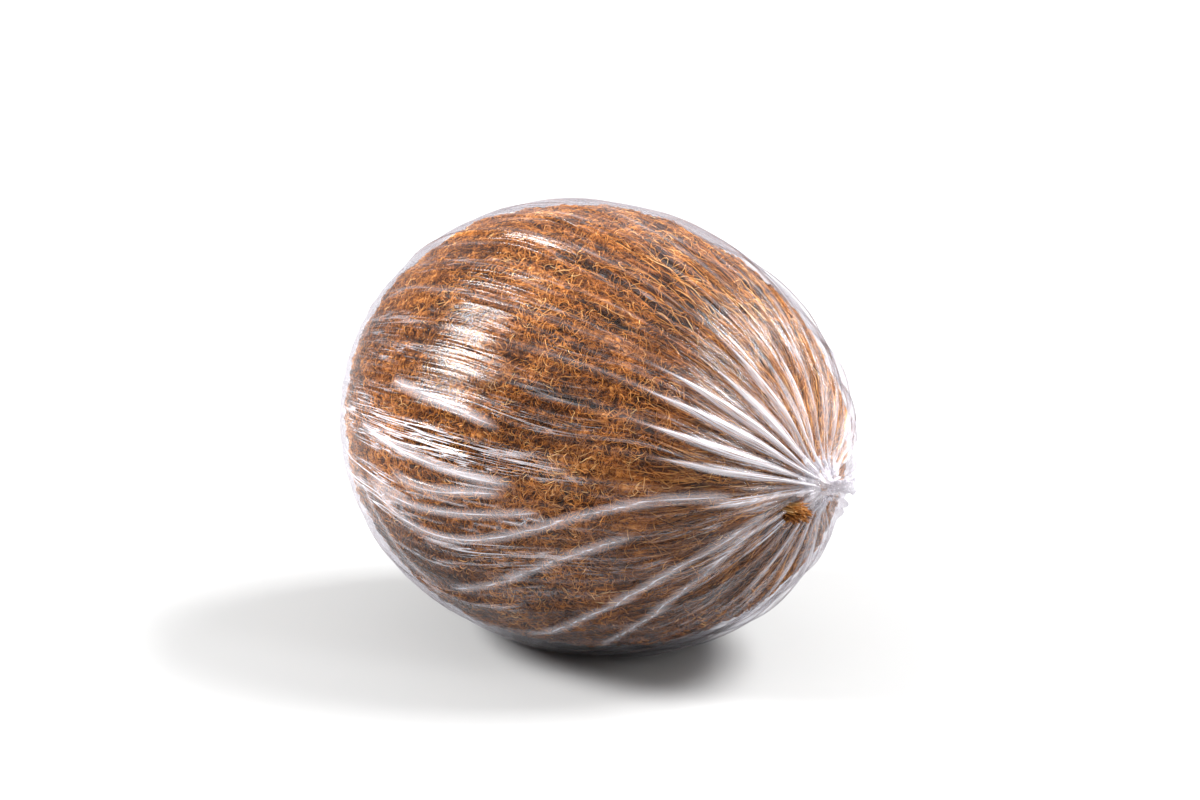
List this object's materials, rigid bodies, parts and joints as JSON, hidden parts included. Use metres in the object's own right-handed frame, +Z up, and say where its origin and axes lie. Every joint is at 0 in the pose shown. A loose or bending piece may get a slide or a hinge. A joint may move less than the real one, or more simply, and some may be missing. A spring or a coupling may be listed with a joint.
{
  "type": "coconut",
  "caption": "Husked brown coconut lying on its side in a tight wrap of thin clear film, gathered at the stem end beside a tuft of coir.",
  "frame": {"origin": "centre of the whole object's box in X and Y, on the surface that it rests on", "axes": "+X along the nut's long axis toward the stem end, where the film is gathered; +Z up from the surface that it rests on"},
  "size_m": [0.1472, 0.1114, 0.1092],
  "materials": {
    "coir": "matte",
    "clear_film": "gloss"
  },
  "bodies": {
    "root": {"coconut": "coir", "film_wrap": "clear_film"}
  },
  "joints": []
}
